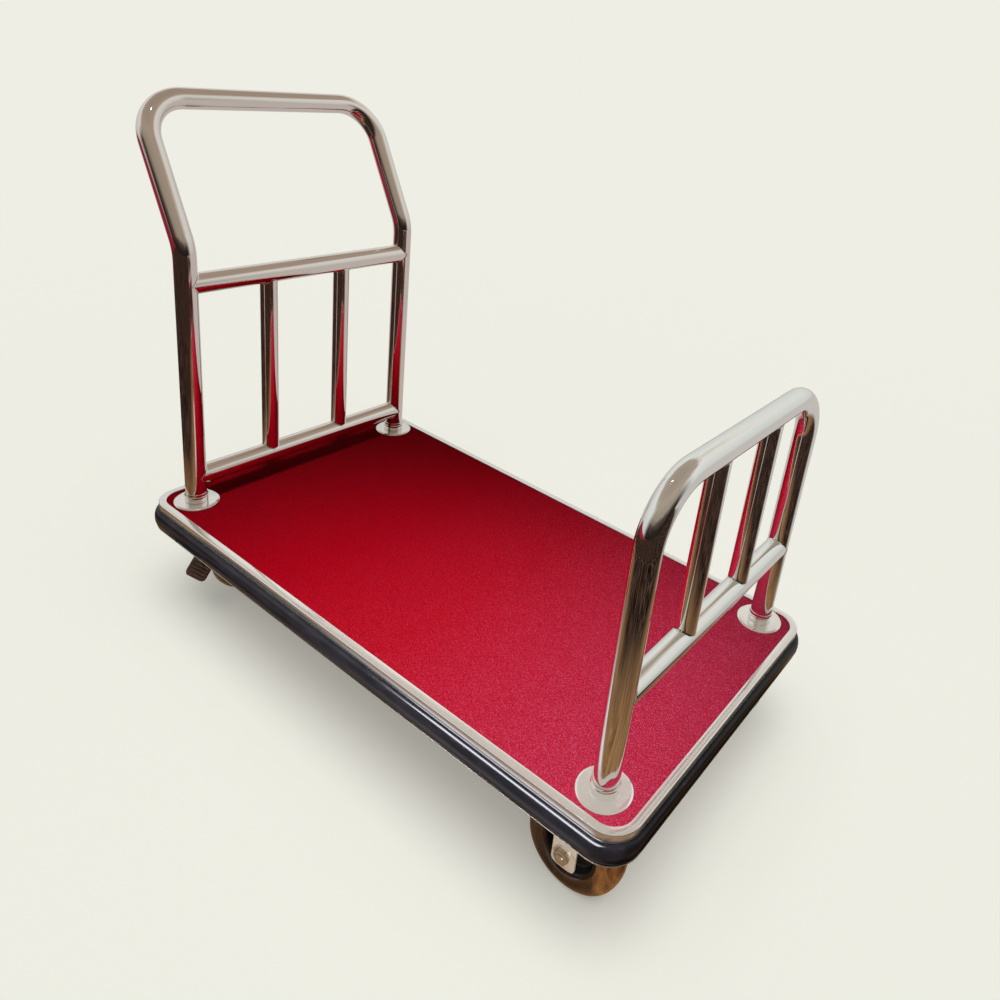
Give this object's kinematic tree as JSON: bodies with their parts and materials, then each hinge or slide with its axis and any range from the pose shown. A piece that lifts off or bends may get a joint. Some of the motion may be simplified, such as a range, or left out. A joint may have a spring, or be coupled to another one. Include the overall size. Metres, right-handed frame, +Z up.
{
  "type": "hotel luggage cart",
  "caption": "Low hotel luggage cart with a carpeted deck, rubber bumper, tall slanted push handle, low end guard, and swivel and rigid casters.",
  "frame": {"origin": "on the floor under the middle of the cart's bounding box", "axes": "+X runs along the deck from the tall handle to the low guard, +Y across the deck, +Z up"},
  "size_m": [1.2017, 0.614, 0.9698],
  "materials": {
    "chrome": "mirror-polished stainless tube",
    "trim_steel": "polished sheet",
    "carpet": "short loop pile, crimson",
    "bumper_rubber": "satin black",
    "plywood": "raw plywood",
    "frame_paint": "semi-gloss black",
    "caster_steel": "zinc plated",
    "tyre": "glossy dark brown",
    "hub": "semi-gloss black"
  },
  "bodies": {
    "frame": {"deck_board": "plywood", "carpet": "carpet", "trim_frame": "trim_steel", "bumper": "bumper_rubber", "underframe_member_1": "frame_paint", "underframe_member_2": "frame_paint", "underframe_member_3": "frame_paint", "handle_tube": "chrome", "handle_lower_rail": "chrome", "handle_spindle_near": "chrome", "handle_foot_flange_near": "chrome", "handle_foot_collar_near": "chrome", "handle_spindle_far": "chrome", "handle_foot_flange_far": "chrome", "handle_foot_collar_far": "chrome", "guard_tube": "chrome", "guard_lower_rail": "chrome", "guard_spindle_near": "chrome", "guard_foot_flange_near": "chrome", "guard_foot_collar_near": "chrome", "guard_spindle_far": "chrome", "guard_foot_flange_far": "chrome", "guard_foot_collar_far": "chrome", "handle_crossbar": "chrome", "swivel_plate_near": "caster_steel", "swivel_raceway_near": "caster_steel", "kingpin_near": "caster_steel", "fork_rigid_near": "caster_steel", "axle_bolt_rigid_near": "caster_steel", "axle_nut_rigid_near": "caster_steel", "swivel_plate_far": "caster_steel", "swivel_raceway_far": "caster_steel", "kingpin_far": "caster_steel", "fork_rigid_far": "caster_steel", "axle_bolt_rigid_far": "caster_steel", "axle_nut_rigid_far": "caster_steel"},
    "swivel_near": {"fork_swivel_near": "caster_steel", "brake_pin_near": "caster_steel", "axle_bolt_swivel_near": "caster_steel", "axle_nut_swivel_near": "caster_steel"},
    "pedal_near": {"brake_pedal_near": "caster_steel"},
    "wheel_rigid_near": {"tyre_rigid_near": "tyre", "hub_rigid_near": "hub"},
    "wheel_swivel_near": {"tyre_swivel_near": "tyre", "hub_swivel_near": "hub"},
    "swivel_far": {"fork_swivel_far": "caster_steel", "brake_pin_far": "caster_steel", "axle_bolt_swivel_far": "caster_steel", "axle_nut_swivel_far": "caster_steel"},
    "pedal_far": {"brake_pedal_far": "caster_steel"},
    "wheel_rigid_far": {"tyre_rigid_far": "tyre", "hub_rigid_far": "hub"},
    "wheel_swivel_far": {"tyre_swivel_far": "tyre", "hub_swivel_far": "hub"}
  },
  "joints": [
    {"name": "swivel_near_turn", "type": "hinge", "parent": "frame", "child": "swivel_near", "pos_m": [-0.417, -0.212, 0.1802], "axis": [0, 0, 1], "continuous": true},
    {"name": "wheel_swivel_near_spin", "type": "hinge", "parent": "swivel_near", "child": "wheel_swivel_near", "pos_m": [-0.42672, -0.15685, 0.0797], "axis": [0.9848, 0.1736, 0], "continuous": true},
    {"name": "brake_pedal_near_press", "type": "hinge", "parent": "swivel_near", "child": "pedal_near", "pos_m": [-0.4104, -0.24942, 0.1722], "axis": [0.9848, 0.1736, 0], "range_deg": [0, 12]},
    {"name": "wheel_rigid_near_spin", "type": "hinge", "parent": "frame", "child": "wheel_rigid_near", "pos_m": [0.4885, -0.225, 0.0797], "axis": [0, 1, 0], "continuous": true},
    {"name": "swivel_far_turn", "type": "hinge", "parent": "frame", "child": "swivel_far", "pos_m": [-0.417, 0.212, 0.1802], "axis": [0, 0, 1], "continuous": true},
    {"name": "wheel_swivel_far_spin", "type": "hinge", "parent": "swivel_far", "child": "wheel_swivel_far", "pos_m": [-0.43149, 0.15791, 0.0797], "axis": [-0.9659, 0.2588, 0], "continuous": true},
    {"name": "brake_pedal_far_press", "type": "hinge", "parent": "swivel_far", "child": "pedal_far", "pos_m": [-0.40716, 0.24871, 0.1722], "axis": [-0.9659, 0.2588, 0], "range_deg": [0, 12]},
    {"name": "wheel_rigid_far_spin", "type": "hinge", "parent": "frame", "child": "wheel_rigid_far", "pos_m": [0.4885, 0.225, 0.0797], "axis": [0, 1, 0], "continuous": true}
  ]
}
